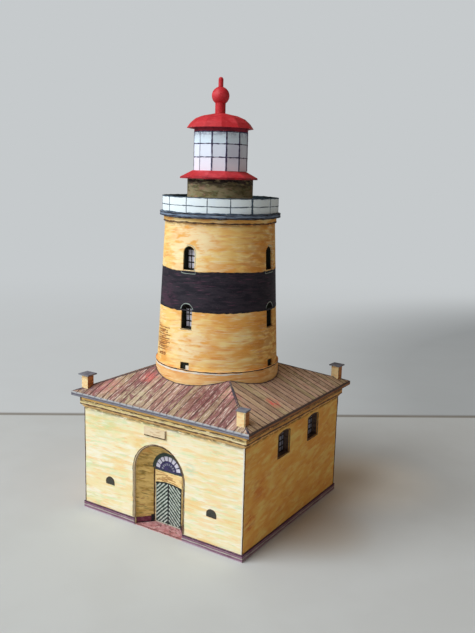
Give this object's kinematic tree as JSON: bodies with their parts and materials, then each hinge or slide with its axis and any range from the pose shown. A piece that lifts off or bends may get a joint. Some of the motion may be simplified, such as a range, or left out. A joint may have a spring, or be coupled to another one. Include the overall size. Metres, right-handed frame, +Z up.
{
  "type": "hand-coloured card model lighthouse",
  "caption": "Card model of a lighthouse: square house with a splayed arched doorway and hipped roof, tapering round tower, gallery with parapet, lantern room, gored dome and ball finial.",
  "frame": {"origin": "centre of the square base, on the plane it stands on", "axes": "+Z up along the tower; -Y out of the wall with the doorway, +X out of the wall to its right"},
  "size_m": [0.0746, 0.0746, 0.1545],
  "materials": {
    "cream_card": "pencil-coloured card",
    "ochre_card": "pencil-coloured card",
    "plain_card": "bare card",
    "plinth_card": "pencil-coloured card",
    "jamb_card": "pencil-coloured card",
    "threshold_card": "pencil-coloured card",
    "door_card": "pencil and pen on card",
    "fanlight_card": "pen on card",
    "vent_card": "pen on card",
    "pane_card": "pen on card",
    "tower_pane_card": "pen on card",
    "eave_card": "pencil-coloured card",
    "roof_card": "pencil-coloured card",
    "band_card": "pencil-coloured card",
    "deck_card": "pencil-coloured card",
    "parapet_card": "pen on card",
    "drum_card": "pencil-coloured card",
    "red_card": "painted card",
    "glazing_card": "pen on card",
    "grey_card": "pencil-coloured card"
  },
  "bodies": {
    "root": {"base_sheet": "plain_card", "front_wall": "cream_card", "back_wall": "ochre_card", "left_wall": "ochre_card", "right_wall": "ochre_card", "plinth_front": "plinth_card", "plinth_back": "plinth_card", "plinth_left": "plinth_card", "plinth_right": "plinth_card", "doorway_reveal": "jamb_card", "threshold": "threshold_card", "door_leaves": "door_card", "door_lintel": "ochre_card", "fanlight": "fanlight_card", "wall_plaque": "cream_card", "wall_vents": "vent_card", "window_reveals": "jamb_card", "window_panes": "pane_card", "wall_cornice": "ochre_card", "ceiling_sheet": "plain_card", "eave_edge": "eave_card", "roof_front": "roof_card", "roof_back": "roof_card", "roof_left": "roof_card", "roof_right": "roof_card", "chimney_shafts": "ochre_card", "chimney_caps": "grey_card", "tower_ring": "ochre_card", "tower_wall_lower": "ochre_card", "tower_band": "band_card", "tower_wall_upper": "ochre_card", "tower_window_reveals": "vent_card", "tower_window_panes": "tower_pane_card", "tower_vent_panels": "vent_card", "tower_cornice": "ochre_card", "gallery_deck": "deck_card", "gallery_parapet": "parapet_card", "lantern_drum": "drum_card", "lantern_skirt": "red_card", "lantern_glazing": "glazing_card", "lantern_band": "red_card", "lantern_dome": "red_card", "finial_neck": "red_card", "finial_ball": "red_card", "finial_spike": "red_card"}
  },
  "joints": []
}
